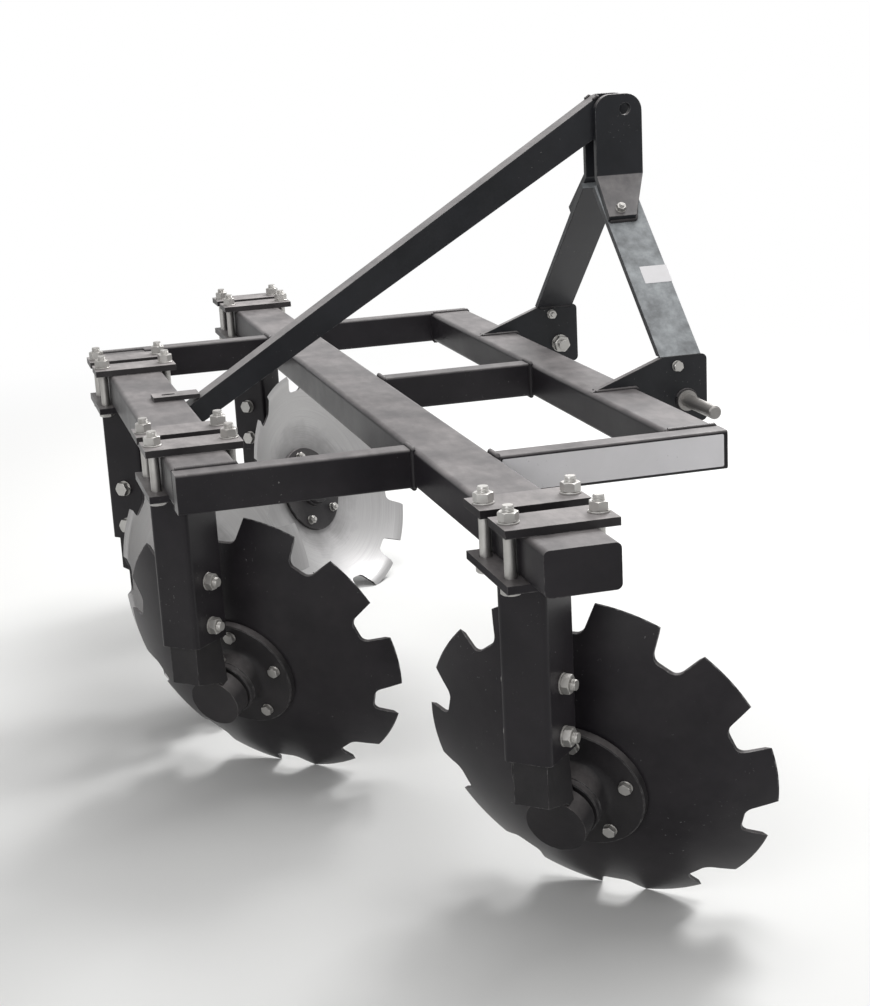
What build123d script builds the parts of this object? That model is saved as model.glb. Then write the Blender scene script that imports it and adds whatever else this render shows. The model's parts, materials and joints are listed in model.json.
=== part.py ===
from build123d import *
import os
from math import atan2, cos, radians, sin, sqrt, tan

# Four-disc ridger for a tractor's three-point hitch.
# Millimetres. +X is the way of travel, +Y the machine's left, +Z up.
# The origin is on the ground, at the middle of the machine's length and width.

os.makedirs("parts", exist_ok=True)

# Frame of rectangular tube, all with one flat top
frame_top = 813.0
beam_width = 125.0
beam_height = 75.0
beam_corner = 10.0
main_half_length = 1490.0
rear_behind_main = 445.0
front_ahead_of_main = 460.0
front_width = 106.0
bar_width = 50.0
bar_corner = 6.0
front_outer_y = 870.0
rear_outer_y = 738.0

# Disc blades and their setting
blade_radius = 330.0
blade_dish = 92.0
blade_thickness = 6.0
blade_flat_radius = 130.0
blade_bevel = 12.0
notch_count = 10
notch_floor_radius = 281.0
notch_floor_width = 50.0
notch_mouth_width = 88.0
notch_corner = 18.0
gang_angle = 43.0
tilt_angle = 18.0

# Hubs and the spindles that carry them
flange_radius = 125.0
flange_thickness = 16.0
barrel_radius = 60.0
barrel_length = 52.0
barrel_flare = 16.0
barrel_flare_length = 20.0
pilot_radius = 32.0
pilot_clearance = 0.3
cap_plate_radius = 122.0
cap_plate_thickness = 8.0
nose_radius = 52.0
nose_length = 26.0
spindle_radius = 25.0
spindle_clearance = 0.05
spindle_in_hub = 50.0
bore_end_gap = 4.0
hub_gap = 6.0
boss_radius = 55.0
boss_length = 40.0

# Standards: a box-section leg under a clamp on its beam, and the bracket in its foot
leg_width = 87.0
leg_depth = 111.0
leg_wall = 12.0
leg_corner = 10.0
leg_bottom = 400.0
leg_from_rim = 245.0
outer_leg_from_end = 218.0
inner_leg_from_end = 302.0
outer_leg_behind_beam = 8.0
inner_leg_behind_beam = 16.0
tongue_clearance = 0.3
tongue_length = 172.0
tongue_end_gap = 3.0
neck_inset = 14.0
cross_bolt_radius = 10.0
cross_bolt_rise = 36.0
cross_bolt_spacing = 92.0

# Clamps: a plate below the beam and two straps above it, drawn together by four long bolts
strap_width = 90.0
strap_spacing = 132.0
strap_thickness = 14.0
strap_past_bolt = 20.0
clamp_out_from_leg = 22.0
bolt_radius = 10.0
bolt_hole_clearance = 1.0
bolt_from_beam = 2.0
nut_across_flats = 30.0
nut_height = 16.0

# Mast: two head plates with flared feet, each on a leaning leg that stands on its hitch plate
head_ahead_of_main = 628.0
head_width = 110.0
head_top = 1398.0
head_height = 176.0
head_corner = 38.0
head_gap = 54.0
head_plate_thickness = 16.0
flare_reach = 177.0
flare_drop = 79.0
flare_foot_width = 56.0
flare_foot_back = 40.0
top_hole_radius = 12.9
top_hole_ahead_of_head = 15.0
top_hole_below_top = 33.0
mast_leg_ahead_of_main = 612.0
mast_leg_width = 92.0
mast_leg_thickness = 16.0

# Hitch plates on the front beam and the pins for the tractor's lower links
hitch_plate_outer_y = 412.0
hitch_plate_thickness = 16.0
hitch_plate_top = 872.0
hitch_plate_knee = 572.0
hitch_plate_front = 671.0
hitch_plate_bottom = 728.0
hitch_plate_corner = 12.0
pin_ahead_of_main = 624.0
pin_height = 776.0
pin_radius = 14.0
pin_hole_clearance = 0.1
pin_reach = 150.0
pin_chamfer = 3.0
pin_collar_radius = 22.0
pin_collar_length = 8.0

# Stay from the head down to the rear beam
stay_slope = 31.8
stay_head_depth = 72.0
stay_foot_depth = 46.0
stay_below_top = 19.0
stay_end_behind_head = 40.0
foot_plate_width = 54.0
foot_plate_thickness = 10.0
foot_plate_on_beam = 70.0
foot_slot_length = 30.0
foot_slot_width = 12.0

# Places that follow from the sizes above
bolt_from_middle = beam_width / 2 + bolt_from_beam + bolt_radius
clamp_length = 2 * (bolt_from_middle + strap_past_bolt)
main_x = (rear_behind_main + clamp_length / 2 - head_ahead_of_main - head_width / 2) / 2
rear_x = main_x - rear_behind_main
front_x = main_x + front_ahead_of_main
main_front = main_x + beam_width / 2
main_back = main_x - beam_width / 2
rear_front = rear_x + beam_width / 2
rear_back = rear_x - beam_width / 2
front_front = front_x + front_width / 2
front_back = front_x - front_width / 2
frame_bottom = frame_top - beam_height
frame_middle = frame_top - beam_height / 2
gang = radians(gang_angle)
tilt = radians(tilt_angle)

# Cross beams: name, middle along X, width, half length
cross_beams = [
    ("main_beam", main_x, beam_width, main_half_length),
    ("rear_beam", rear_x, beam_width, rear_outer_y - bar_width),
    ("front_beam", front_x, front_width, front_outer_y - bar_width),
]
for name, x, width, half_length in cross_beams:
    with BuildPart() as beam:
        with BuildSketch(Plane(origin=(x, 0, frame_middle), x_dir=(1, 0, 0), z_dir=(0, 1, 0))):
            RectangleRounded(width, beam_height, beam_corner)
        extrude(amount=half_length, both=True)
    beam.part.label = name
    export_step(beam.part, f"parts/{name}.step")

# Bars along the machine: name, back end, front end, middle along Y
bars = [
    ("side_bar_front_right", main_front, front_front, bar_width / 2 - front_outer_y),
    ("side_bar_front_left", main_front, front_front, front_outer_y - bar_width / 2),
    ("side_bar_rear_right", rear_back, main_back, bar_width / 2 - rear_outer_y),
    ("side_bar_rear_left", rear_back, main_back, rear_outer_y - bar_width / 2),
    ("centre_bar", main_front, front_back, 0.0),
]
for name, back, front, y in bars:
    with BuildPart() as bar:
        with BuildSketch(Plane(origin=(back, y, frame_middle), x_dir=(0, 1, 0), z_dir=(1, 0, 0))):
            RectangleRounded(bar_width, beam_height, bar_corner)
        extrude(amount=front - back)
    bar.part.label = name
    export_step(bar.part, f"parts/{name}.step")

# The blade is a flat middle inside a zone of a sphere; heights are from the flat's back
mouth_depth = sqrt(blade_radius**2 - (notch_mouth_width / 2)**2)
sphere_centre = (blade_radius**2 + blade_dish**2 - blade_flat_radius**2) / (2 * blade_dish)
sphere_radius = sqrt(blade_flat_radius**2 + sphere_centre**2)
hollow_radius = sphere_radius - blade_thickness
hollow_flat = sqrt(hollow_radius**2 - (sphere_centre - blade_thickness)**2)
bevel_radius = blade_radius - blade_bevel
bevel_height = sphere_centre - sqrt(hollow_radius**2 - bevel_radius**2)
blade_hole = pilot_radius + pilot_clearance
notch_flare = (notch_mouth_width - notch_floor_width) / 2 / (mouth_depth - notch_floor_radius)
notch_end = blade_radius + notch_corner
notch_end_half = notch_floor_width / 2 + notch_flare * (notch_end - notch_floor_radius)

# Heights along a disc's axis, from the blade's back, and sizes inside the leg's foot
hub_back = -flange_thickness - barrel_length
spindle_end = hub_back + spindle_in_hub
bore_end = spindle_end + bore_end_gap
cap_front = blade_thickness + cap_plate_thickness
boss_front = hub_back - hub_gap
boss_back = boss_front - boss_length
rim_height = mouth_depth * cos(tilt)
pocket_width = leg_width - 2 * leg_wall
pocket_depth = leg_depth - 2 * leg_wall
tongue_half_depth = pocket_depth / 2 - tongue_clearance
cross_hole_radius = cross_bolt_radius + bolt_hole_clearance

# Clamp heights
base_bottom = frame_bottom - strap_thickness
strap_top = frame_top + strap_thickness

# Disc units: name, beam's middle along X, leg behind it, leg's distance from the middle,
# side (-1 right, 1 left)
outer_leg_y = main_half_length - outer_leg_from_end
inner_leg_y = rear_outer_y - inner_leg_from_end
units = [
    ("outer_right", main_x, outer_leg_behind_beam, outer_leg_y, -1),
    ("outer_left", main_x, outer_leg_behind_beam, outer_leg_y, 1),
    ("inner_right", rear_x, inner_leg_behind_beam, inner_leg_y, -1),
    ("inner_left", rear_x, inner_leg_behind_beam, inner_leg_y, 1),
]
for unit, beam_x, leg_behind, leg_distance, side in units:
    leg_x = beam_x - leg_behind
    leg_y = side * leg_distance
    ahead = Vector(sin(gang), -side * cos(gang), 0)
    across = Vector(cos(gang), side * sin(gang), 0)
    low_cross_bolt = (leg_x, leg_y, leg_bottom + cross_bolt_rise)
    cross_plane = Plane(origin=low_cross_bolt, x_dir=(0, 0, 1), z_dir=across)
    axis_out = ahead * cos(tilt) + Vector(0, 0, sin(tilt))
    rim_middle = Vector(leg_x, leg_y, rim_height) + ahead * leg_from_rim
    blade_back = rim_middle - axis_out * blade_dish
    # The blade's axis is this plane's Z, out of the hollow side, with Z = 0 on the blade's flat back
    blade_plane = Plane(origin=blade_back, x_dir=across, z_dir=axis_out)
    # A section through that axis: its X is the radius and its Y runs along the axis
    section_plane = Plane(origin=blade_back, x_dir=across, z_dir=across.cross(axis_out))

    # Blade: the dish with its ground edge, cut by round-bottomed notches
    with BuildPart() as blade:
        with BuildSketch(section_plane):
            with BuildLine():
                Line((blade_hole, 0), (blade_flat_radius, 0))
                RadiusArc((blade_flat_radius, 0), (blade_radius, blade_dish), -sphere_radius)
                Line((blade_radius, blade_dish), (bevel_radius, bevel_height))
                RadiusArc((bevel_radius, bevel_height), (hollow_flat, blade_thickness), hollow_radius)
                Line((hollow_flat, blade_thickness), (blade_hole, blade_thickness))
                Line((blade_hole, blade_thickness), (blade_hole, 0))
            make_face()
        revolve(axis=Axis(blade_back, axis_out))
        with BuildSketch(blade_plane):
            with BuildSketch(Plane.XY, mode=Mode.PRIVATE) as notch:
                with BuildLine():
                    Polyline(
                        (notch_floor_radius, -notch_floor_width / 2),
                        (notch_end, -notch_end_half),
                        (notch_end, notch_end_half),
                        (notch_floor_radius, notch_floor_width / 2),
                        close=True)
                make_face()
                fillet(notch.vertices().group_by(Axis.X)[0], radius=notch_corner)
            with PolarLocations(0, notch_count, start_angle=90):
                add(notch.sketch)
        extrude(amount=blade_dish + blade_thickness, mode=Mode.SUBTRACT)
    blade.part.label = f"blade_{unit}"
    export_step(blade.part, f"parts/blade_{unit}.step")

    # Hub: flange behind the blade, flared barrel, pilot through the blade and a cap plate over it
    with BuildPart() as hub:
        with BuildSketch(section_plane):
            with BuildLine():
                Polyline(
                    (0, bore_end),
                    (spindle_radius + spindle_clearance, bore_end),
                    (spindle_radius + spindle_clearance, hub_back),
                    (barrel_radius, hub_back),
                    (barrel_radius, -flange_thickness - barrel_flare_length),
                    (barrel_radius + barrel_flare, -flange_thickness),
                    (flange_radius, -flange_thickness),
                    (flange_radius, 0),
                    (pilot_radius, 0),
                    (pilot_radius, blade_thickness),
                    (cap_plate_radius, blade_thickness),
                    (cap_plate_radius, cap_front),
                    (nose_radius, cap_front),
                    (nose_radius, cap_front + nose_length),
                    (0, cap_front + nose_length),
                    close=True)
            make_face()
        revolve(axis=Axis(blade_back, axis_out))
    hub.part.label = f"hub_{unit}"
    export_step(hub.part, f"parts/hub_{unit}.step")

    # Bracket: a tongue up inside the leg, a neck down to the boss, and the spindle
    boss_middle = blade_back + axis_out * (boss_front + boss_back) / 2
    boss_ahead = (boss_middle - Vector(leg_x, leg_y, 0)).dot(ahead)
    boss_half_ahead = boss_length / 2 * cos(tilt)
    boss_shoulder = boss_middle.Z + boss_radius * cos(tilt)
    boss_lean = boss_radius * sin(tilt)
    with BuildPart() as bracket:
        with BuildSketch(Plane(origin=(leg_x, leg_y, 0), x_dir=ahead, z_dir=ahead.cross(Vector(0, 0, 1)))):
            with BuildLine():
                Polyline(
                    (-tongue_half_depth, leg_bottom + tongue_length),
                    (tongue_half_depth, leg_bottom + tongue_length),
                    (tongue_half_depth, leg_bottom),
                    (boss_ahead + boss_half_ahead - boss_lean - neck_inset, boss_shoulder),
                    (boss_ahead, boss_middle.Z),
                    (boss_ahead - boss_half_ahead - boss_lean, boss_shoulder - boss_length / 2 * sin(tilt)),
                    (-tongue_half_depth, boss_shoulder + neck_inset),
                    close=True)
            make_face()
        extrude(amount=pocket_width / 2 - tongue_clearance, both=True)
        with BuildSketch(section_plane):
            with BuildLine():
                Polyline(
                    (0, boss_back),
                    (boss_radius, boss_back),
                    (boss_radius, boss_front),
                    (spindle_radius, boss_front),
                    (spindle_radius, spindle_end),
                    (0, spindle_end),
                    close=True)
            make_face()
        revolve(axis=Axis(blade_back, axis_out))
        with BuildSketch(cross_plane):
            with Locations((0, 0), (cross_bolt_spacing, 0)):
                Circle(cross_hole_radius)
        extrude(amount=leg_width / 2, both=True, mode=Mode.SUBTRACT)
    bracket.part.label = f"hub_bracket_{unit}"
    export_step(bracket.part, f"parts/hub_bracket_{unit}.step")

    # Standard: the plate under the beam and the leg, with a socket in its foot
    clamp_y = leg_y + side * clamp_out_from_leg
    strap_places = [(beam_x, clamp_y - strap_spacing / 2), (beam_x, clamp_y + strap_spacing / 2)]
    bolt_places = [(x + along, y) for x, y in strap_places for along in (-bolt_from_middle, bolt_from_middle)]
    with BuildPart() as standard:
        with BuildSketch(Plane.XY.offset(base_bottom)):
            with Locations((beam_x, clamp_y)):
                Rectangle(clamp_length, strap_spacing + strap_width)
            with Locations(*bolt_places):
                Circle(bolt_radius + bolt_hole_clearance, mode=Mode.SUBTRACT)
        extrude(amount=strap_thickness)
        with BuildSketch(Plane(origin=(leg_x, leg_y, leg_bottom), x_dir=across, z_dir=(0, 0, 1))):
            RectangleRounded(leg_width, leg_depth, leg_corner)
        extrude(amount=base_bottom - leg_bottom)
        with BuildSketch(Plane(origin=(leg_x, leg_y, leg_bottom), x_dir=across, z_dir=(0, 0, 1))):
            Rectangle(pocket_width, pocket_depth)
        extrude(amount=tongue_length + tongue_end_gap, mode=Mode.SUBTRACT)
        with BuildSketch(cross_plane):
            with Locations((0, 0), (cross_bolt_spacing, 0)):
                Circle(cross_hole_radius)
        extrude(amount=leg_width, both=True, mode=Mode.SUBTRACT)
    standard.part.label = f"standard_{unit}"
    export_step(standard.part, f"parts/standard_{unit}.step")

    # Two straps over the beam
    with BuildPart() as clamp_straps:
        with BuildSketch(Plane.XY.offset(frame_top)):
            with Locations(*strap_places):
                Rectangle(clamp_length, strap_width)
            with Locations(*bolt_places):
                Circle(bolt_radius + bolt_hole_clearance, mode=Mode.SUBTRACT)
        extrude(amount=strap_thickness)
    clamp_straps.part.label = f"clamp_plate_{unit}"
    export_step(clamp_straps.part, f"parts/clamp_plate_{unit}.step")

    # Four long bolts beside the beam and two across the leg, with heads and nuts
    with BuildPart() as bolts:
        with BuildSketch(Plane.XY.offset(base_bottom)):
            with Locations(*bolt_places):
                Circle(bolt_radius)
        extrude(amount=strap_top - base_bottom)
        for nut_bottom in (base_bottom - nut_height, strap_top):
            with BuildSketch(Plane.XY.offset(nut_bottom)):
                with Locations(*bolt_places):
                    RegularPolygon(nut_across_flats / 2, 6, major_radius=False)
            extrude(amount=nut_height)
        with BuildSketch(cross_plane):
            with Locations((0, 0), (cross_bolt_spacing, 0)):
                Circle(cross_bolt_radius)
        extrude(amount=leg_width / 2, both=True)
        for head_start in (-leg_width / 2 - nut_height, leg_width / 2):
            with BuildSketch(cross_plane.offset(head_start)):
                with Locations((0, 0), (cross_bolt_spacing, 0)):
                    RegularPolygon(nut_across_flats / 2, 6, major_radius=False)
            extrude(amount=nut_height)
    bolts.part.label = f"bolts_{unit}"
    export_step(bolts.part, f"parts/bolts_{unit}.step")

# Mast and hitch: places along X, heights, and distances out from the middle plane
head_x = main_x + head_ahead_of_main
head_inner_y = head_gap / 2
head_outer_y = head_inner_y + head_plate_thickness
head_bend = head_top - head_height
flare_end_y = head_outer_y + flare_reach
head_middle_y = (head_inner_y + flare_end_y) / 2
flare_slope = flare_drop / flare_reach
flare_end_bottom = head_bend - flare_drop - head_plate_thickness / cos(atan2(flare_drop, flare_reach))
flare_foot_x = head_x - flare_foot_back
mast_leg_x = main_x + mast_leg_ahead_of_main
leg_steepness = (flare_end_bottom - hitch_plate_top) / (hitch_plate_outer_y - flare_end_y)
leg_foot_inner_y = hitch_plate_outer_y - mast_leg_thickness / sin(atan2(leg_steepness, 1))
flare_under_rise = flare_end_bottom - hitch_plate_top + flare_end_y * flare_slope
leg_top_inner_y = (leg_foot_inner_y * leg_steepness - flare_under_rise) / (leg_steepness - flare_slope)
leg_top_inner_z = hitch_plate_top + (leg_foot_inner_y - leg_top_inner_y) * leg_steepness
plate_middle_y = hitch_plate_outer_y - hitch_plate_thickness / 2
hitch_plate_inner_y = hitch_plate_outer_y - hitch_plate_thickness
pin_x = main_x + pin_ahead_of_main

# Both halves of the mast and hitch: name, side
for name, side in (("right", -1), ("left", 1)):
    # Head plate: bent outwards at its foot, with a hole for the top link's pin
    head_side = Plane(origin=(0, side * head_middle_y, 0), x_dir=(1, 0, 0), z_dir=(0, -1, 0))
    with BuildPart() as head_plate:
        with BuildSketch(Plane(origin=(head_x, 0, 0), x_dir=(0, side, 0), z_dir=(side, 0, 0))):
            with BuildLine():
                Polyline(
                    (head_inner_y, head_top),
                    (head_outer_y, head_top),
                    (head_outer_y, head_bend),
                    (flare_end_y, head_bend - flare_drop),
                    (flare_end_y, flare_end_bottom),
                    (head_inner_y, flare_end_bottom + (flare_end_y - head_inner_y) * flare_slope),
                    close=True)
            make_face()
        extrude(amount=head_width, both=True)
        with BuildSketch(head_side) as outline:
            with BuildLine():
                Polyline(
                    (head_x - head_width / 2, head_top),
                    (head_x + head_width / 2, head_top),
                    (head_x + head_width / 2, head_bend),
                    (flare_foot_x + flare_foot_width / 2, flare_end_bottom),
                    (flare_foot_x - flare_foot_width / 2, flare_end_bottom),
                    (head_x - head_width / 2, head_bend),
                    close=True)
            make_face()
            fillet(outline.vertices().group_by(Axis.Y)[-1], radius=head_corner)
            with Locations((head_x + top_hole_ahead_of_head, head_top - top_hole_below_top)):
                Circle(top_hole_radius, mode=Mode.SUBTRACT)
        extrude(amount=flare_end_y - head_middle_y, both=True, mode=Mode.INTERSECT)
    head_plate.part.label = f"mast_head_{name}"
    export_step(head_plate.part, f"parts/mast_head_{name}.step")

    # Mast leg: a flat bar that leans in from the hitch plate to the underside of the flare
    with BuildPart() as mast_leg:
        with BuildSketch(Plane(origin=(mast_leg_x, 0, 0), x_dir=(0, side, 0), z_dir=(side, 0, 0))):
            with BuildLine():
                Polyline(
                    (leg_foot_inner_y, hitch_plate_top),
                    (hitch_plate_outer_y, hitch_plate_top),
                    (flare_end_y, flare_end_bottom),
                    (leg_top_inner_y, leg_top_inner_z),
                    close=True)
            make_face()
        extrude(amount=mast_leg_width / 2, both=True)
    mast_leg.part.label = f"mast_leg_{name}"
    export_step(mast_leg.part, f"parts/mast_leg_{name}.step")

    # Hitch plate: along the front beam's top and down its front face
    plate_side = Plane(origin=(0, side * plate_middle_y, 0), x_dir=(1, 0, 0), z_dir=(0, -1, 0))
    with BuildPart() as hitch_plate:
        with BuildSketch(plate_side) as outline:
            with BuildLine():
                Polyline(
                    (front_back + bar_corner, frame_top),
                    (main_x + hitch_plate_knee, hitch_plate_top),
                    (main_x + hitch_plate_front, hitch_plate_top),
                    (main_x + hitch_plate_front, hitch_plate_bottom),
                    (front_front, hitch_plate_bottom),
                    (front_front, frame_top),
                    close=True)
            make_face()
            fillet(outline.vertices().group_by(Axis.X)[-1], radius=hitch_plate_corner)
            with Locations((pin_x, pin_height)):
                Circle(pin_radius + pin_hole_clearance, mode=Mode.SUBTRACT)
        extrude(amount=hitch_plate_thickness / 2, both=True)
    hitch_plate.part.label = f"hitch_plate_{name}"
    export_step(hitch_plate.part, f"parts/hitch_plate_{name}.step")

    # Lower link pin: through the plate to a collar on its outer face, then a stub with a lead-in
    pin_start = Plane(origin=(pin_x, side * hitch_plate_inner_y, pin_height), z_dir=(0, side, 0))
    with BuildPart() as hitch_pin:
        with BuildSketch(pin_start):
            Circle(pin_radius)
        extrude(amount=hitch_plate_thickness + pin_reach)
        chamfer(hitch_pin.edges().group_by(Axis.Y)[-1 if side > 0 else 0], length=pin_chamfer)
        with BuildSketch(pin_start.offset(hitch_plate_thickness)):
            Circle(pin_collar_radius)
        extrude(amount=pin_collar_length)
    hitch_pin.part.label = f"hitch_pin_{name}"
    export_step(hitch_pin.part, f"parts/hitch_pin_{name}.step")

# Stay: a tube from the rear beam's front face up between the head plates
rise = tan(radians(stay_slope))
stay_end = head_x - stay_end_behind_head
stay_foot_top = frame_top - stay_below_top
stay_head_top = stay_foot_top + (stay_end - rear_front) * rise
with BuildPart() as stay:
    with BuildSketch(Plane.XZ):
        with BuildLine():
            Polyline(
                (rear_front, stay_foot_top - stay_foot_depth / cos(radians(stay_slope))),
                (stay_end, stay_head_top - stay_head_depth / cos(radians(stay_slope))),
                (stay_end, stay_head_top),
                (rear_front, stay_foot_top),
                close=True)
        make_face()
    extrude(amount=head_gap / 2, both=True)
stay.part.label = "stay"
export_step(stay.part, "parts/stay.step")

# Foot plate: on the rear beam's top, from its slotted end to the stay's upper face
foot_touch = rear_front + stay_below_top / rise
foot_back = rear_front - foot_plate_on_beam
with BuildPart() as foot_plate:
    with BuildSketch(Plane.XY.offset(frame_top)):
        with Locations(((foot_back + foot_touch) / 2, 0)):
            Rectangle(foot_touch - foot_back, foot_plate_width)
        with Locations((rear_front - foot_plate_on_beam / 2, 0)):
            SlotOverall(foot_slot_length, foot_slot_width, mode=Mode.SUBTRACT)
    extrude(amount=foot_plate_thickness)
foot_plate.part.label = "stay_foot_plate"
export_step(foot_plate.part, "parts/stay_foot_plate.step")
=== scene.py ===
import json
import math
import random

import bmesh
import bpy
from mathutils import Matrix, Vector


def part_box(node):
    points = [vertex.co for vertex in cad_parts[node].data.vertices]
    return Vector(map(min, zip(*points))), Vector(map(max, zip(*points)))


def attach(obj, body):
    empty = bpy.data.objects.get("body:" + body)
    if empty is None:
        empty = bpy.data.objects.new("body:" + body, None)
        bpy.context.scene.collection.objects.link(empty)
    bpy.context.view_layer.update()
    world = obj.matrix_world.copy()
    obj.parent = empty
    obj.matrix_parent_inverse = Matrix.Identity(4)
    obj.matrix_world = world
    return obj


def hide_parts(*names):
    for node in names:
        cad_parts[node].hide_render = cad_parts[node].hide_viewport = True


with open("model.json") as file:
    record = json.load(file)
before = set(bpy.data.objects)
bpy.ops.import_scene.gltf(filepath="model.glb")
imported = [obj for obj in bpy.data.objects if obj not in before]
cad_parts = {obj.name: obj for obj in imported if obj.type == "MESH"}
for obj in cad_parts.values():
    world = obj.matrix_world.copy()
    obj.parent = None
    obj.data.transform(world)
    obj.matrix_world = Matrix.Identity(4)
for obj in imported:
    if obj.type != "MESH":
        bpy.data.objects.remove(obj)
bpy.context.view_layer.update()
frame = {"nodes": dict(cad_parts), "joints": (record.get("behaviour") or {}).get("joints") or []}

scene = bpy.context.scene
random.seed(7)

# Sizes in metres. Those of the frame's own pieces are the same there, apart from the mast's sides.

# Beams and bars
FRAME_TOP = 0.813
BEAM_HEIGHT = 0.075
BAR_WIDTH = 0.050
FRONT_OUTER_Y = 0.870
REAR_OUTER_Y = 0.738

# Blades
BLADE_RADIUS = 0.330
BLADE_DISH = 0.092
BLADE_THICKNESS = 0.006
BLADE_FLAT = 0.130
BLADE_BEVEL = 0.012
BEVEL_START = BLADE_RADIUS - BLADE_BEVEL
BLADE_HOLE = 0.0323
SPHERE_CENTRE = (BLADE_RADIUS**2 + BLADE_DISH**2 - BLADE_FLAT**2) / (2 * BLADE_DISH)
SPHERE_RADIUS = math.sqrt(BLADE_FLAT**2 + SPHERE_CENTRE**2)
HOLLOW_RADIUS = SPHERE_RADIUS - BLADE_THICKNESS
NOTCHES = 10
NOTCH_FLOOR = 0.281
NOTCH_FLOOR_HALF = 0.025
NOTCH_MOUTH_HALF = 0.044
NOTCH_CORNER = 0.018

# Hubs
HUB_BACK = -0.068
HUB_BORE = 0.0255
SEAL_INNER = 0.030
SEAL_OUTER = 0.050
SEAL_DEPTH = 0.003
BARREL_RADIUS = 0.060
FLANGE_RADIUS = 0.125
FLANGE_THICKNESS = 0.016
PILOT_RADIUS = 0.032
CAP_PLATE_RADIUS = 0.122
CAP_FRONT = 0.014
NOSE_RADIUS = 0.052
NOSE_LENGTH = 0.026
HUB_BOLTS = 5
HUB_BOLT_CIRCLE_RADIUS = 0.098
FIRST_HUB_BOLT_DEGREES = 23
HUB_BOLT_RADIUS = 0.007
HUB_NUT_FLATS = 0.021
HUB_BOLT_HEAD_HEIGHT = 0.009
HUB_NUT_HEIGHT = 0.011
HUB_BOLT_END = 0.006
GREASE_FITTING_PLACE = (0, BARREL_RADIUS - 0.001, -0.048)

# Clamps and legs
STRAP_THICKNESS = 0.014
BOLT_RADIUS = 0.010
BOLT_INSET_X = 0.020
BOLT_INSET_Y = 0.045
NUT_FLATS = 0.030
NUT_HEIGHT = 0.016
LONG_BOLT_HEAD_HEIGHT = 0.013
LONG_BOLT_END = 0.010
LEG_WIDTH = 0.087
LEG_DEPTH = 0.111
CLAMP_OUT_FROM_LEG = 0.022
LEG_BEHIND_CLAMP = {"outer": 0.008, "inner": 0.016}
CROSS_BOLT_HEIGHTS = (0.436, 0.528)
CROSS_NUT_HEIGHT = 0.014
CROSS_BOLT_END = 0.009

# Hitch plates, their small bolts and the nuts of the pins
PLATE_OUTER_Y = 0.412
PLATE_THICKNESS = 0.016
PLATE_INNER_Y = PLATE_OUTER_Y - PLATE_THICKNESS
PLATE_TOP = 0.872
PLATE_BOLT_BEHIND_FRONT = 0.067
PLATE_BOLT_Z = 0.851
SMALL_BOLT_RADIUS = 0.006
SMALL_NUT_FLATS = 0.019
SMALL_NUT_HEIGHT = 0.010
PIN_NUT_FLATS = 0.036
PIN_NUT_HEIGHT = 0.018
PIN_THREAD_RADIUS = 0.012
PIN_THREAD_END = 0.008

# Mast. The heads' bent feet and the legs have a form of their own here.
HEAD_INNER_Y = 0.027
HEAD_OUTER_Y = 0.043
HEAD_BEND = 1.222
HEAD_WIDTH = 0.110
HEAD_CORNER = 0.038
TOP_HOLE_RADIUS = 0.0129
TOP_HOLE_BEHIND_FRONT = 0.040
TOP_HOLE_BELOW_TOP = 0.033
MAST_THICKNESS = 0.016
FLARE_LENGTH = 0.122
FLARE_END_WIDTH = 0.064
FLARE_END_OVERHANG = 0.007
FLARE_BOLT_FROM_END = 0.020
LEG_BELOW_BEND = 0.012
STAY_SLOPE = math.radians(31.8)
STAY_HEAD_DEPTH = 0.072
STAY_FOOT_DEPTH = 0.046
STAY_BELOW_TOP = 0.019

# Weld beads, by their radius, and the places of their paths
STANDARD_BEAD = 0.0055
FRAME_BEAD = 0.0050
MAST_FOOT_BEAD = 0.0055
FLARE_BEAD = 0.0050
PLATE_BEAD = 0.0048
STAY_FOOT_BEAD = 0.0045
STAY_HEAD_BEAD = 0.0042
PIN_BEAD = 0.0032
PIN_RING_RADIUS = 0.0225
RIPPLE_LENGTH = 0.0022
BEAM_WELD_NARROWER = 0.008
WELD_END_INSET = 0.004
WELD_CORNER_SHARE = 0.96
BEAD_OFFSET = 0.001
WELD_SMOOTH_DEGREES = 60.0

# Blank strips and label
FILM_THICKNESS = 0.0006
STRIP_SHORTER = 0.016
STRIP_HEIGHT = 0.062
STRIP_CORNER = 0.003
LABEL_WIDTH = 0.062
LABEL_HEIGHT = 0.048
LABEL_CORNER = 0.002
LABEL_BEHIND_EDGE = 0.030
LABEL_BELOW_BEND = 0.282

# Broken edges
EDGE_BREAK = 0.0012
EDGE_BREAK_DEGREES = 40
FLAT_FACE_DEGREES = 1.0

UP = Vector((0, 0, 1))
SQUARE_CORNERS = ((-1, -1), (1, -1), (1, 1), (-1, 1))


# Shader groups for the finishes
def new_group(name, inputs, outputs):
    """A shader node group; inputs are (name, default) and outputs are names, all of them numbers."""
    tree = bpy.data.node_groups.new(name, "ShaderNodeTree")
    for label, default in inputs:
        socket = tree.interface.new_socket(label, in_out="INPUT", socket_type="NodeSocketFloat")
        socket.default_value = default
    for label in outputs:
        tree.interface.new_socket(label, in_out="OUTPUT", socket_type="NodeSocketFloat")
    return tree, tree.nodes.new("NodeGroupInput").outputs, tree.nodes.new("NodeGroupOutput").inputs


def feed(tree, socket, source):
    """Links a socket to another, or sets it to a number or colour."""
    if isinstance(source, bpy.types.NodeSocket):
        tree.links.new(source, socket)
    elif isinstance(source, tuple) and len(source) == 3 and socket.type == "RGBA":
        socket.default_value = (*source, 1.0)
    else:
        socket.default_value = source


def node(tree, kind, inputs=(), **settings):
    """A node with its settings, and its inputs fed by place or name."""
    made = tree.nodes.new(kind)
    for key, value in settings.items():
        setattr(made, key, value)
    for key, source in dict(inputs).items():
        feed(tree, made.inputs[key], source)
    return made


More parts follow.
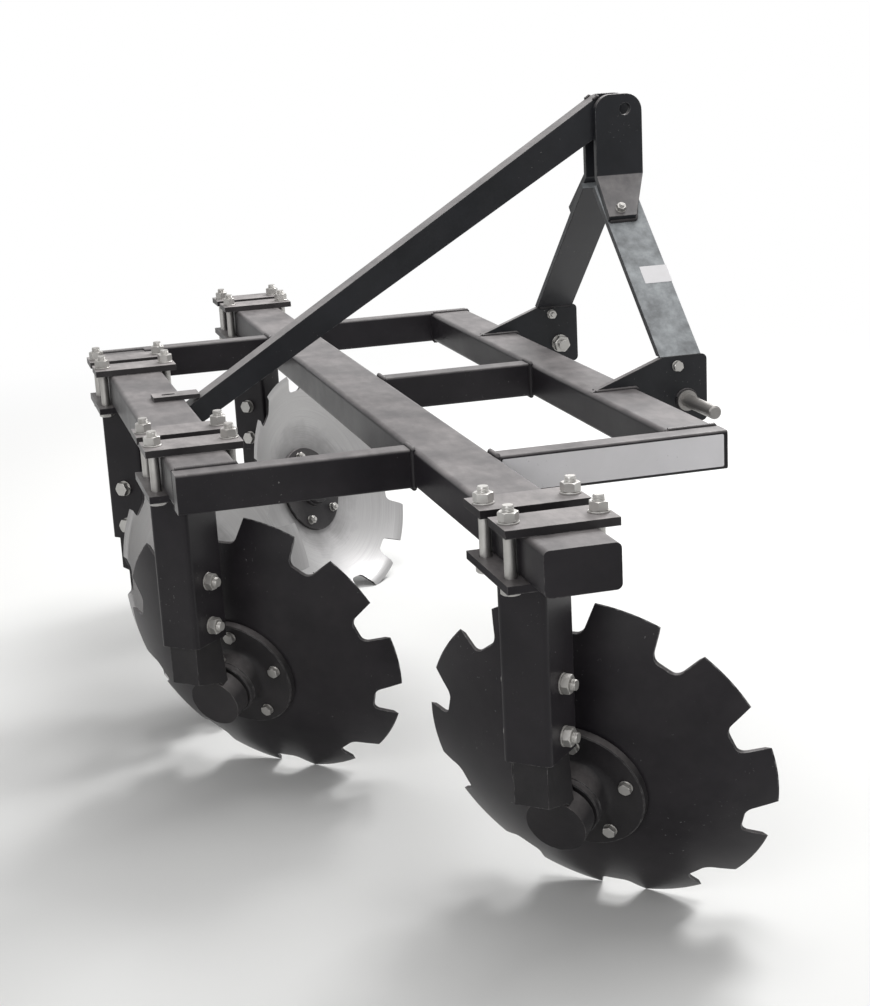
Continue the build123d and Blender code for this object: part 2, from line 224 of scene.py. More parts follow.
def combine(tree, operation, first, second, clamp=False):
    """Output of a sum, product or other operation on two numbers."""
    made = node(tree, "ShaderNodeMath", {0: first, 1: second}, operation=operation, use_clamp=clamp)
    return made.outputs[0]


def spread(tree, source, low, high, to_low=0.0, to_high=1.0):
    """The source's stretch from low to high, laid out from to_low to to_high."""
    return node(tree, "ShaderNodeMapRange", {0: source, 1: low, 2: high, 3: to_low, 4: to_high}).outputs[0]


def surface_point(tree):
    """Place in the piece's own space."""
    return node(tree, "ShaderNodeTexCoord").outputs["Object"]


def mottle(tree, where, scale, detail, rough, stretch=None):
    """Fractal noise of that scale, drawn out along an axis where stretch says so."""
    if stretch is not None:
        where = node(tree, "ShaderNodeMapping", {"Vector": where, "Scale": stretch}).outputs[0]
    inputs = {"Vector": where, "Scale": scale, "Detail": detail, "Roughness": rough}
    return node(tree, "ShaderNodeTexNoise", inputs).outputs["Fac"]


def edge_wear_and_highlight_group():
    """1 where an outside edge has lost its paint, broken up by noise; the light metal there is also a painted
    edge highlight.
    """
    tree, given, result = new_group(
        "worn edges and painted highlight", [("Radius", 0.003), ("Amount", 0.5), ("Scale", 60.0)], ["Mask"])
    bevel = node(tree, "ShaderNodeBevel", {"Radius": given["Radius"]}, samples=4)
    plain = node(tree, "ShaderNodeNewGeometry")
    likeness = node(tree, "ShaderNodeVectorMath", {0: bevel.outputs[0], 1: plain.outputs["Normal"]},
                    operation="DOT_PRODUCT").outputs["Value"]
    edge = spread(tree, combine(tree, "SUBTRACT", 1.0, likeness), 0.01, 0.12)
    broken = spread(tree, mottle(tree, surface_point(tree), given["Scale"], 5.0, 0.65), 0.42, 0.66)
    mask = combine(tree, "MULTIPLY", combine(tree, "MULTIPLY", edge, broken), given["Amount"], clamp=True)
    feed(tree, result["Mask"], mask)
    return tree


def dust_and_top_sheen_group():
    """Dust and a painted sky sheen on faces that look up past Lean, thicker in patches, with a thin film
    elsewhere.
    """
    tree, given, result = new_group(
        "dust_and_painted_top_sheen", [("Top", 0.5), ("Film", 0.08), ("Lean", 0.25), ("Scale", 9.0)], ["Mask"])
    face = node(tree, "ShaderNodeNewGeometry").outputs["Normal"]
    upward = node(tree, "ShaderNodeSeparateXYZ", {0: face}).outputs["Z"]
    lying = spread(tree, upward, given["Lean"], 0.95)
    where = surface_point(tree)
    patches = spread(tree, mottle(tree, where, given["Scale"], 6.0, 0.62), 0.34, 0.64, 0.45, 1.0)
    swept = spread(tree, mottle(tree, where, 55.0, 4.0, 0.6, (1.0, 0.35, 1.0)), 0.35, 0.62, 0.72, 1.0)
    uneven = combine(tree, "MULTIPLY", patches, swept)
    top = combine(tree, "MULTIPLY", combine(tree, "MULTIPLY", lying, given["Top"]), uneven)
    clouds = spread(tree, mottle(tree, where, 3.5, 5.0, 0.62), 0.35, 0.72)
    film = combine(tree, "MULTIPLY", clouds, given["Film"])
    feed(tree, result["Mask"], combine(tree, "ADD", top, film, clamp=True))
    return tree


def paint_film_group():
    """Height of sprayed paint over mill steel, and slow shade changes across it."""
    tree, given, result = new_group("paint film", [("Peel", 0.5), ("Waviness", 0.5)], ["Height", "Shade"])
    where = surface_point(tree)
    peel = combine(tree, "MULTIPLY", mottle(tree, where, 420.0, 2.0, 0.5), given["Peel"])
    wave = combine(tree, "MULTIPLY", mottle(tree, where, 14.0, 3.0, 0.5), given["Waviness"])
    feed(tree, result["Height"], combine(tree, "ADD", peel, wave))
    feed(tree, result["Shade"], spread(tree, mottle(tree, where, 6.0, 6.0, 0.65), 0.3, 0.7))
    return tree


def chips_group():
    """Small chips through the paint, in the areas that get knocked."""
    tree, given, result = new_group("paint chips", [("Amount", 0.3), ("Scale", 1.0)], ["Mask"])
    where = node(tree, "ShaderNodeVectorMath", {0: surface_point(tree), "Scale": given["Scale"]},
                 operation="SCALE").outputs[0]
    chips = spread(tree, mottle(tree, where, 150.0, 3.0, 0.7), 0.68, 0.71)
    knocked = spread(tree, mottle(tree, where, 7.0, 3.0, 0.6), 0.50, 0.64)
    chipped = combine(tree, "MULTIPLY", chips, knocked)
    feed(tree, result["Mask"], combine(tree, "MULTIPLY", chipped, given["Amount"]))
    return tree


def soil_polish_group():
    """On a blade: how far in from the rim the soil has worn it, and the rings it has left."""
    tree, given, result = new_group("soil polish", [("Inner", 0.15), ("Outer", 0.30)], ["Mask", "Rings"])
    where = node(tree, "ShaderNodeAttribute", attribute_name="disc place").outputs["Vector"]
    split = node(tree, "ShaderNodeSeparateXYZ", {0: where}).outputs
    flat = node(tree, "ShaderNodeCombineXYZ", {0: split["X"], 1: split["Y"]}).outputs[0]
    radius = node(tree, "ShaderNodeVectorMath", {0: flat}, operation="LENGTH").outputs["Value"]
    ragged = spread(tree, mottle(tree, where, 12.0, 5.0, 0.6), 0.3, 0.7, -0.03, 0.03)
    worn = spread(tree, combine(tree, "ADD", radius, ragged), given["Inner"], given["Outer"])
    angle = combine(tree, "ARCTAN2", split["Y"], split["X"])
    out = combine(tree, "MULTIPLY", radius, 700.0)
    round_it = combine(tree, "MULTIPLY", angle, 1.2)
    polar = node(tree, "ShaderNodeCombineXYZ", {0: out, 1: round_it}).outputs[0]
    feed(tree, result["Mask"], worn)
    feed(tree, result["Rings"], mottle(tree, polar, 1.0, 3.0, 0.6))
    return tree


EDGE_WEAR_AND_HIGHLIGHT = edge_wear_and_highlight_group()
DUST_AND_TOP_SHEEN = dust_and_top_sheen_group()
PAINT_FILM = paint_film_group()
PAINT_CHIPS = chips_group()
SOIL_POLISH = soil_polish_group()


# Materials
def placed(tree, group, **values):
    """Outputs of a group put into the tree with those values."""
    made = tree.nodes.new("ShaderNodeGroup")
    made.node_tree = group
    for key, value in values.items():
        made.inputs[key].default_value = value
    return made.outputs


def mix_colour(tree, factor, first, second):
    """The first colour turning into the second as the factor goes from 0 to 1."""
    return node(tree, "ShaderNodeMix", {0: factor, 6: first, 7: second}, data_type="RGBA").outputs[2]


def mix_value(tree, factor, first, second):
    """The first number turning into the second as the factor goes from 0 to 1."""
    return node(tree, "ShaderNodeMix", {0: factor, 2: first, 3: second}, data_type="FLOAT").outputs[0]


def new_material(name):
    """A material, its tree and its Principled shader."""
    material = bpy.data.materials.new(name)
    material.use_nodes = True
    return material, material.node_tree, material.node_tree.nodes["Principled BSDF"]


def bump(tree, shader, height, strength, distance):
    """Bends the shader's normals by that height."""
    made = node(tree, "ShaderNodeBump", {"Strength": strength, "Distance": distance, "Height": height})
    feed(tree, shader.inputs["Normal"], made.outputs[0])


# Dust grey, which on faces that look up also stands for a painted sky sheen.
DUST_AND_SHEEN_GREY = (0.43, 0.40, 0.395)
# Pale blue-grey of a painted sky reflection on the mast legs.
LEG_SKY_SHEEN = (0.45, 0.475, 0.49)
BOLT_DUST = (0.33, 0.30, 0.27)
FILM_DUST = (0.40, 0.38, 0.35)
FILM_SCUFF = (0.20, 0.19, 0.19)
BARE_STEEL = (0.34, 0.33, 0.325)
PAINT_SPECULAR = 0.2
COAT_ROUGHNESS = 0.16


def painted(name, dark, light, rough=0.34, coat=0.08, top=0.5, film=0.02, lean=0.25, worn_and_highlit_edges=0.5, chips=0.5,
            waviness=0.5, peel=0.4, dust_and_sheen_colour=DUST_AND_SHEEN_GREY, dust_scale=9.0):
    """Paint over steel: two shades in patches, a dusting and a painted sky sheen on top, bared metal at edges
    and chips; the light edges also stand for a painted edge highlight.
    """
    material, tree, shader = new_material(name)
    paint = placed(tree, PAINT_FILM, Peel=peel, Waviness=waviness)
    dust_and_sheen = placed(tree, DUST_AND_TOP_SHEEN, Top=top, Film=film, Lean=lean, Scale=dust_scale)["Mask"]
    edges = placed(tree, EDGE_WEAR_AND_HIGHLIGHT, Radius=0.0025, Amount=worn_and_highlit_edges, Scale=70.0)["Mask"]
    knocks = placed(tree, PAINT_CHIPS, Amount=chips, Scale=1.0)["Mask"]
    # Metal bared at edges is paint loss and also a painted edge highlight.
    bare = combine(tree, "MAXIMUM", edges, knocks)
    colour = mix_colour(tree, dust_and_sheen, mix_colour(tree, paint["Shade"], dark, light), dust_and_sheen_colour)
    feed(tree, shader.inputs["Base Color"], mix_colour(tree, bare, colour, BARE_STEEL))
    gloss = mix_value(tree, dust_and_sheen, mix_value(tree, paint["Shade"], rough, rough + 0.10), 0.80)
    feed(tree, shader.inputs["Roughness"], mix_value(tree, bare, gloss, 0.40))
    feed(tree, shader.inputs["Metallic"], bare)
    shader.inputs["Specular IOR Level"].default_value = PAINT_SPECULAR
    shader.inputs["Coat Weight"].default_value = coat
    shader.inputs["Coat Roughness"].default_value = COAT_ROUGHNESS
    bump(tree, shader, paint["Height"], 0.35, 0.0012)
    return material


def plated(name, colour, rough=0.32):
    """Plated or bare steel of bolts and pins, dulled in patches and dusty."""
    material, tree, shader = new_material(name)
    skin = placed(tree, PAINT_FILM, Peel=0.3, Waviness=0.1)
    dust_and_sheen = placed(tree, DUST_AND_TOP_SHEEN, Top=0.25, Film=0.22, Lean=0.25, Scale=40.0)["Mask"]
    dull = tuple(value * 0.55 for value in colour)
    base = mix_colour(tree, skin["Shade"], colour, dull)
    feed(tree, shader.inputs["Base Color"], mix_colour(tree, dust_and_sheen, base, BOLT_DUST))
    feed(tree, shader.inputs["Metallic"], mix_value(tree, dust_and_sheen, 0.9, 0.1))
    feed(tree, shader.inputs["Roughness"], mix_value(tree, skin["Shade"], rough, rough + 0.18))
    bump(tree, shader, skin["Height"], 0.25, 0.0006)
    return material


def blade_finish():
    """Black paint on the blade's back, worn to dull ringed steel over its hollow side and rim."""
    material, tree, shader = new_material("blade paint and worn steel")
    paint = placed(tree, PAINT_FILM, Peel=0.4, Waviness=0.4)
    dust_and_sheen = placed(tree, DUST_AND_TOP_SHEEN, Top=0.25, Film=0.04, Lean=0.3, Scale=12.0)["Mask"]
    edges = placed(tree, EDGE_WEAR_AND_HIGHLIGHT, Radius=0.003, Amount=0.65, Scale=60.0)["Mask"]
    knocks = placed(tree, PAINT_CHIPS, Amount=0.5, Scale=0.9)["Mask"]
    soil = placed(tree, SOIL_POLISH, Inner=0.10, Outer=0.20)
    hollow = node(tree, "ShaderNodeAttribute", attribute_name="hollow side").outputs["Fac"]
    worn = combine(tree, "MULTIPLY", hollow, spread(tree, soil["Mask"], 0.0, 1.0, 0.45, 1.0))
    bare = combine(tree, "MAXIMUM", combine(tree, "MAXIMUM", edges, knocks), worn)
    black = mix_colour(tree, paint["Shade"], (0.006, 0.005, 0.007), (0.014, 0.012, 0.015))
    steel = mix_colour(tree, soil["Rings"], (0.26, 0.255, 0.255), (0.46, 0.455, 0.455))
    colour = mix_colour(tree, dust_and_sheen, black, DUST_AND_SHEEN_GREY)
    feed(tree, shader.inputs["Base Color"], mix_colour(tree, bare, colour, steel))
    feed(tree, shader.inputs["Metallic"], combine(tree, "MULTIPLY", bare, 0.85))
    gloss = mix_value(tree, dust_and_sheen, 0.36, 0.75)
    steel_gloss = mix_value(tree, soil["Rings"], 0.34, 0.50)
    feed(tree, shader.inputs["Roughness"], mix_value(tree, bare, gloss, steel_gloss))
    shader.inputs["Specular IOR Level"].default_value = PAINT_SPECULAR
    rings = combine(tree, "MULTIPLY", combine(tree, "MULTIPLY", soil["Rings"], worn), 0.4)
    bump(tree, shader, combine(tree, "ADD", paint["Height"], rings), 0.3, 0.0010)
    return material


def blank_film(name, colour, rough):
    """Film of a blank strip or label, a little soiled and scuffed."""
    material, tree, shader = new_material(name)
    skin = placed(tree, PAINT_FILM, Peel=0.1, Waviness=0.3)
    dust_and_sheen = placed(tree, DUST_AND_TOP_SHEEN, Top=0.2, Film=0.16, Lean=0.2, Scale=14.0)["Mask"]
    knocks = placed(tree, PAINT_CHIPS, Amount=0.6, Scale=0.8)["Mask"]
    base = mix_colour(tree, skin["Shade"], colour, tuple(value * 0.90 for value in colour))
    base = mix_colour(tree, dust_and_sheen, base, FILM_DUST)
    feed(tree, shader.inputs["Base Color"], mix_colour(tree, knocks, base, FILM_SCUFF))
    feed(tree, shader.inputs["Roughness"], mix_value(tree, dust_and_sheen, rough, 0.7))
    bump(tree, shader, skin["Height"], 0.1, 0.0006)
    return material


# Top sets how far faces that look up turn pale: Dust, and a painted sky sheen on beams, heads and straps.
BEAM_PAINT = painted("beam black paint", (0.007, 0.006, 0.008), (0.015, 0.013, 0.016), top=0.48)
STRAP_PAINT = painted("dusty strap paint with painted top sheen", (0.010, 0.009, 0.010), (0.024, 0.022, 0.024),
                      top=0.75, film=0.08, worn_and_highlit_edges=0.8, chips=0.9)
LEG_PAINT = painted("standard black paint", (0.006, 0.005, 0.007), (0.013, 0.011, 0.014), top=0.5)
HEAD_PAINT = painted("mast black paint", (0.009, 0.010, 0.012), (0.018, 0.019, 0.023),
                     rough=0.28, coat=0.15, top=0.66)
# Mast legs: a painted sky reflection laid through the top mask, even on faces that lean a little down.
MAST_LEG_PAINT = painted("mast leg paint with painted sky sheen", (0.008, 0.008, 0.010), (0.016, 0.016, 0.019),
                         top=0.95, lean=-0.15, dust_and_sheen_colour=LEG_SKY_SHEEN, dust_scale=24.0)
CAST_PAINT = painted("cast hub and bracket paint", (0.007, 0.007, 0.008), (0.016, 0.014, 0.016),
                     rough=0.46, coat=0.05, top=0.4, film=0.05, waviness=1.2, peel=0.9)
WELD_PAINT = painted("painted weld", (0.011, 0.010, 0.012), (0.024, 0.022, 0.024),
                     rough=0.38, top=0.45, worn_and_highlit_edges=0.0, chips=0.0)
ZINC = plated("zinc plate", (0.60, 0.59, 0.57))
PIN_STEEL = plated("bare pin steel", (0.36, 0.35, 0.34), 0.36)
BLADE_FINISH = blade_finish()
WHITE_FILM = blank_film("blank white film", (0.70, 0.69, 0.71), 0.38)


# Meshes
def finish_mesh(bm, name, material, body, smooth_angle=30.0, matrix=Matrix.Identity(4)):
    """Turns the bmesh, put in its place by the matrix, into a piece that rides on a body."""
    mesh = bpy.data.meshes.new(name)
    bmesh.ops.recalc_face_normals(bm, faces=bm.faces)
    bm.transform(matrix)
    bm.to_mesh(mesh)
    bm.free()
    piece = bpy.data.objects.new(name, mesh)
    scene.collection.objects.link(piece)
    mesh.materials.append(material)
    mesh.shade_smooth()
    mesh.set_sharp_from_angle(angle=math.radians(smooth_angle))
    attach(piece, body)
    return piece


def from_columns(x, y, z, origin):
    """Matrix with those axes and that origin."""
    return Matrix([[column[row] for column in (x, y, z, origin)] for row in range(3)] + [[0, 0, 0, 1]])


def axes(origin, z_axis, x_hint=(1, 0, 0)):
    """Matrix with its Z along z_axis and its X as near x_hint as it can be."""
    z = Vector(z_axis).normalized()
    x = (Vector(x_hint) - z * Vector(x_hint).dot(z)).normalized()
    return from_columns(x, z.cross(x), z, origin)


def add_rings(bm, rings, matrix=Matrix.Identity(4), ring_closed=False):
    """Skins rings of points, each as long as the next, and caps the first and the last; ring_closed joins
    the last to the first instead."""
    made = [[bm.verts.new(matrix @ Vector(point)) for point in ring] for ring in rings]
    if ring_closed:
        made.append(made[0])
    count = len(rings[0])
    for low, high in zip(made, made[1:]):
        for i in range(count):
            j = (i + 1) % count
            bm.faces.new((low[i], low[j], high[j], high[i]))
    if not ring_closed:
        bm.faces.new(list(reversed(made[0])))
        bm.faces.new(made[-1])


def add_turned(bm, profile, matrix=Matrix.Identity(4), count=64, hollow=False):
    """Turns (radius, height) points about Z; hollow joins the profile's end to its start."""
    step = 2 * math.pi / count
    rings = [[(radius * math.cos(step * i), radius * math.sin(step * i), height) for i in range(count)]
             for radius, height in profile]
    add_rings(bm, rings, matrix, ring_closed=hollow)


def add_hex(bm, matrix, flats, height, chamfers=(True, True), count=48):
    """A hexagon with the 30 degree chamfers of a nut or bolt head, at its bottom and top."""
    inner = flats / 2 * 0.97
    slope = 0.577
    rings = []
    for level, chamfer in ((0.0, chamfers[0]), (height, chamfers[1])):
        outer_ring, inner_ring = [], []
        for i in range(count):
            angle = 2 * math.pi * i / count
            radius = flats / 2 / math.cos((angle + math.pi / 6) % (math.pi / 3) - math.pi / 6)
            drop = (radius - inner) * slope if chamfer else 0.0
            z = level + drop if level == 0.0 else level - drop
            outer_ring.append((radius * math.cos(angle), radius * math.sin(angle), z))
            inner_ring.append((inner * math.cos(angle), inner * math.sin(angle), level))
        if chamfer:
            rings += [inner_ring, outer_ring] if level == 0.0 else [outer_ring, inner_ring]
        else:
            rings.append(outer_ring)
    add_rings(bm, rings, matrix)


def add_thread(bm, matrix, radius, length, pitch=0.0025, depth=0.0012, count=20):
    """A screw thread that fades out at its end, over the last length of a bolt."""
    rows = int(length / pitch * 4)
    rings = []
    for row in range(rows + 1):
        z = length * row / rows
        fade = min(1.0, (length - z) / (1.2 * pitch))
        ring = []
        for i in range(count):
            angle = 2 * math.pi * i / count
            crest = 1 - abs(2 * ((z / pitch - i / count) % 1.0) - 1)
            reach = radius - depth + depth * crest * fade
            ring.append((reach * math.cos(angle), reach * math.sin(angle), z))
        rings.append(ring)
    add_rings(bm, rings, matrix)


def add_washer(bm, matrix, inner, outer, thickness, count=40):
    """A flat washer with its outside edges broken."""
    edge = thickness * 0.2
    profile = [(inner, 0), (outer - edge, 0), (outer, edge),
               (outer, thickness - edge), (outer - edge, thickness), (inner, thickness)]
    add_turned(bm, profile, matrix, count, hollow=True)


def add_bolt_head(bm, matrix, flats, height, shank, thread=0.0):
    """Washer and nut or head on a face; thread is how far the bolt's end stands out of it."""
    washer = shank * 0.3
    add_washer(bm, matrix, shank * 1.05, flats * 0.6, washer)
    seat = matrix @ Matrix.Translation((0, 0, washer))
    add_hex(bm, seat, flats, height)
    if thread:
        add_thread(bm, seat @ Matrix.Translation((0, 0, height)), shank, thread)


def add_weld(bm, points, size, closed=False):
    """A bead along a path, with the ripples of its puddle."""
    path = [Vector(point) for point in points]
    if closed:
        path.append(path[0])
    samples = []
    for start, end in zip(path, path[1:]):
        count = max(2, int((end - start).length / RIPPLE_LENGTH))
        samples += [(start + (end - start) * (i / count), (end - start).normalized()) for i in range(count)]
    if not closed:
        samples.append((path[-1], (path[-1] - path[-2]).normalized()))
    rings = []
    for index, (point, along) in enumerate(samples):
        side = along.cross(UP)
        if side.length < 0.2:
            side = along.cross(Vector((1, 0, 0)))
        side.normalize()
        lift = side.cross(along)
        swell = size * (1.0 + (0.09 if index % 2 else -0.07) + random.uniform(-0.05, 0.05))
        if not closed and index in (0, len(samples) - 1):
            swell *= 0.5
        rings.append([point + (side * math.cos(math.pi * i / 4) + lift * math.sin(math.pi * i / 4)) * swell
                      for i in range(8)])
    add_rings(bm, rings, ring_closed=closed)


# Blades
def blade_back(radius):
    """Height of the blade's back over its flat middle at that radius."""
    return SPHERE_CENTRE - math.sqrt(SPHERE_RADIUS**2 - max(radius, BLADE_FLAT)**2)


def blade_front(radius):
    """Height of the hollow side at that radius, with the ground bevel at the rim."""
    inner = min(radius, BEVEL_START)
    height = max(BLADE_THICKNESS, SPHERE_CENTRE - math.sqrt(HOLLOW_RADIUS**2 - inner**2))
    if radius > BEVEL_START:
        height += (BLADE_DISH - height) * (radius - BEVEL_START) / BLADE_BEVEL
    return height


def notch_outline():
    """(angle, radius) round half a notch and half a lobe, from the notch's middle."""
    mouth_depth = math.sqrt(BLADE_RADIUS**2 - NOTCH_MOUTH_HALF**2)
    wall = Vector((mouth_depth - NOTCH_FLOOR, NOTCH_MOUTH_HALF - NOTCH_FLOOR_HALF))
    turn = math.atan2(wall.x, wall.y)
    corner_start = NOTCH_FLOOR_HALF - NOTCH_CORNER * math.tan(turn / 2)
    points = [Vector((NOTCH_FLOOR, corner_start * share)) for share in (0.0, 0.5, 1.0)]
    for step in range(1, 9):
        swing = turn * step / 8
        points.append(Vector((NOTCH_FLOOR + NOTCH_CORNER * (1 - math.cos(swing)),
                              corner_start + NOTCH_CORNER * math.sin(swing))))
    last, mouth = points[-1], Vector((mouth_depth, NOTCH_MOUTH_HALF))
    points += [last.lerp(mouth, share) for share in (0.35, 0.7, 0.93, 1.0)]
    outline = [(math.atan2(point.y, point.x), point.length) for point in points]
    lobe_start, lobe_end = outline[-1][0], math.pi / NOTCHES
    outline += [(lobe_start + (lobe_end - lobe_start) * step / 8, BLADE_RADIUS) for step in range(1, 9)]
    return outline


def blade_mesh():
    """A dished blade with round-cornered notches, its flat back on Z = 0, and its finish's two attributes."""
    half = notch_outline()
    period = [(-angle, radius) for angle, radius in reversed(half[1:])] + half[:-1]
    middle = [BLADE_HOLE, 0.09] + [BLADE_FLAT + step for step in (-0.006, -0.002, 0.001, 0.005)]
    bm = bmesh.new()
    columns = []
    for index in range(NOTCHES):
        start = math.pi / 2 + 2 * math.pi * index / NOTCHES
        for angle, rim in period:
            inner_end = min(rim, BEVEL_START)
            radii = middle + [middle[-1] + (inner_end - middle[-1]) * step / 12 for step in range(1, 13)]
            radii += [inner_end + (rim - inner_end) * share for share in (0.5, 1.0)]
            out = Vector((math.cos(start + angle), math.sin(start + angle), 0))
            back = [bm.verts.new(out * r + UP * blade_back(r)) for r in radii]
            front = [bm.verts.new(out * r + UP * blade_front(r)) for r in radii]
            columns.append(back + list(reversed(front)))
    for i, column in enumerate(columns):
        following = columns[(i + 1) % len(columns)]
        for k in range(len(column)):
            after = (k + 1) % len(column)
            bm.faces.new((column[k], following[k], following[after], column[after]))
    bmesh.ops.remove_doubles(bm, verts=bm.verts, dist=1e-6)
    bmesh.ops.dissolve_degenerate(bm, edges=bm.edges, dist=1e-6)
    bmesh.ops.recalc_face_normals(bm, faces=bm.faces)
    place = bm.verts.layers.float_vector.new("disc place")
    for vertex in bm.verts:
        vertex[place] = vertex.co
    hollow = bm.faces.layers.float.new("hollow side")
    for face in bm.faces:
        face[hollow] = 1.0 if face.normal.z > 0.1 else 0.0
    return bm


# Hubs
def hub_profile():
    """The hub turned in one: seal lip, barrel, fillet, flange, pilot, cap plate and domed nose."""
    back, barrel = HUB_BACK, BARREL_RADIUS
    flange_back = -FLANGE_THICKNESS
    nose = CAP_FRONT + NOSE_LENGTH
    return [
        (HUB_BORE, back), (SEAL_INNER, back), (SEAL_INNER, back + SEAL_DEPTH),
        (SEAL_OUTER, back + SEAL_DEPTH), (SEAL_OUTER, back),
        (barrel - 0.002, back), (barrel, back + 0.002), (barrel, back + 0.010),
        (barrel - 0.0015, back + 0.0115), (barrel - 0.0015, back + 0.0135), (barrel, back + 0.015),
        (barrel, flange_back - 0.020), (0.0612, flange_back - 0.013), (0.0640, flange_back - 0.0075),
        (0.0685, flange_back - 0.003), (0.0755, flange_back - 0.0005), (0.080, flange_back),
        (FLANGE_RADIUS - 0.002, flange_back), (FLANGE_RADIUS, flange_back + 0.002), (FLANGE_RADIUS, 0.0),
        (PILOT_RADIUS, 0.0), (PILOT_RADIUS, BLADE_THICKNESS), (CAP_PLATE_RADIUS, BLADE_THICKNESS),
        (CAP_PLATE_RADIUS, CAP_FRONT - 0.002), (CAP_PLATE_RADIUS - 0.002, CAP_FRONT),
        (NOSE_RADIUS + 0.004, CAP_FRONT), (NOSE_RADIUS + 0.001, CAP_FRONT + 0.001),
        (NOSE_RADIUS, CAP_FRONT + 0.004), (NOSE_RADIUS, CAP_FRONT + 0.010),
        (NOSE_RADIUS - 0.003, CAP_FRONT + 0.0115), (NOSE_RADIUS - 0.003, nose - 0.007),
        (NOSE_RADIUS - 0.006, nose - 0.002), (NOSE_RADIUS - 0.014, nose), (0.0, nose)]


def add_hub_bolts(bm):
    """The hub's bolts: heads behind the flange, nuts with thread ends on the cap plate."""
    for index in range(HUB_BOLTS):
        angle = math.radians(FIRST_HUB_BOLT_DEGREES + 360 / HUB_BOLTS * index)
        x, y = HUB_BOLT_CIRCLE_RADIUS * math.cos(angle), HUB_BOLT_CIRCLE_RADIUS * math.sin(angle)
        head_hint = (math.cos(angle + 0.2), math.sin(angle + 0.2), 0)
        head_seat = axes((x, y, -FLANGE_THICKNESS), -UP, head_hint)
        add_bolt_head(bm, head_seat, HUB_NUT_FLATS, HUB_BOLT_HEAD_HEIGHT, HUB_BOLT_RADIUS)
        nut_hint = (math.cos(angle + 0.3), math.sin(angle + 0.3), 0)
        nut_seat = axes((x, y, CAP_FRONT), UP, nut_hint)
        add_bolt_head(bm, nut_seat, HUB_NUT_FLATS, HUB_NUT_HEIGHT, HUB_BOLT_RADIUS, HUB_BOLT_END)


def add_grease_fitting(bm, matrix):
    """A small hexagon with a ball nipple."""
    foot = 0.004
    nipple = [(0.0026, foot), (0.0026, 0.007), (0.0018, 0.0085), (0.0031, 0.0105),
              (0.0031, 0.0118), (0.0020, 0.0132), (0.0, 0.0134)]
    add_hex(bm, matrix, 0.009, foot)
    add_turned(bm, nipple, matrix, 20)


for joint in frame["joints"]:
    body = joint["child"]
    unit = body.removeprefix("disc_")
    axis = Vector(joint["axis"]).normalized()
    seat = axes(joint["pos_m"], axis, UP.cross(axis))
    blade = finish_mesh(blade_mesh(), f"notched_blade_{unit}", BLADE_FINISH, body, matrix=seat)
    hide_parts(f"blade_{unit}")
    bm = bmesh.new()
    add_turned(bm, hub_profile(), count=112)
    hub = finish_mesh(bm, f"turned_hub_{unit}", CAST_PAINT, body, matrix=seat)
    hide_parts(f"hub_{unit}")
    bm = bmesh.new()
    add_hub_bolts(bm)
    add_grease_fitting(bm, axes(GREASE_FITTING_PLACE, (0, 1, 0)))
    finish_mesh(bm, f"hub_bolts_{unit}", ZINC, body, matrix=seat)


# Long bolts of each clamp, cross bolts of each leg and the weld round its top
for joint in frame["joints"]:
    unit = joint["child"].removeprefix("disc_")
    inner_or_outer, right_or_left = unit.split("_")
    side = -1 if right_or_left == "right" else 1
    low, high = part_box(f"clamp_plate_{unit}")
    base_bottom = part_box(f"standard_{unit}")[1].z - STRAP_THICKNESS
    bm = bmesh.new()
    for x in (low.x + BOLT_INSET_X, high.x - BOLT_INSET_X):
        for y in (low.y + BOLT_INSET_Y, high.y - BOLT_INSET_Y):
            turn = random.uniform(0, math.pi / 3)
            hint = (math.cos(turn), math.sin(turn), 0)
            shank = [(BOLT_RADIUS, base_bottom), (BOLT_RADIUS, high.z)]
            add_turned(bm, shank, Matrix.Translation((x, y, 0)), 32)
            nut_seat = axes((x, y, high.z), UP, hint)
            add_bolt_head(bm, nut_seat, NUT_FLATS, NUT_HEIGHT, BOLT_RADIUS, LONG_BOLT_END)
            head_seat = axes((x, y, base_bottom), -UP, hint)
            add_hex(bm, head_seat, NUT_FLATS, LONG_BOLT_HEAD_HEIGHT, (False, True))
    leg = Vector(((low.x + high.x) / 2 - LEG_BEHIND_CLAMP[inner_or_outer],
                  (low.y + high.y) / 2 - side * CLAMP_OUT_FROM_LEG, 0))
    across = UP.cross(Vector(joint["axis"])).normalized()
    along = across.cross(UP)
    for height in CROSS_BOLT_HEIGHTS:
        middle = leg + UP * height
        shank_start = axes(middle - across * LEG_WIDTH / 2, across, UP)
        add_turned(bm, [(BOLT_RADIUS, 0.0), (BOLT_RADIUS, LEG_WIDTH)], shank_start, 24)
        for way in (-1, 1):
            tip = CROSS_BOLT_END if way * side > 0 else 0.0
            face = axes(middle + across * way * LEG_WIDTH / 2, across * way, UP)
            add_bolt_head(bm, face, NUT_FLATS, CROSS_NUT_HEIGHT, BOLT_RADIUS, tip)
    bolts = finish_mesh(bm, f"long_and_cross_bolts_{unit}", ZINC, "frame")
    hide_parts(f"bolts_{unit}")

    half_across, half_along = across * LEG_WIDTH / 2, along * LEG_DEPTH / 2
    shares = [(a * WELD_CORNER_SHARE, b * WELD_CORNER_SHARE) for a, b in SQUARE_CORNERS]
    corners = [leg + half_across * a + half_along * b + UP * (base_bottom - BEAD_OFFSET) for a, b in shares]
    bm = bmesh.new()
    add_weld(bm, corners, STANDARD_BEAD, closed=True)
    finish_mesh(bm, f"standard_weld_{unit}", WELD_PAINT, "frame", WELD_SMOOTH_DEGREES)


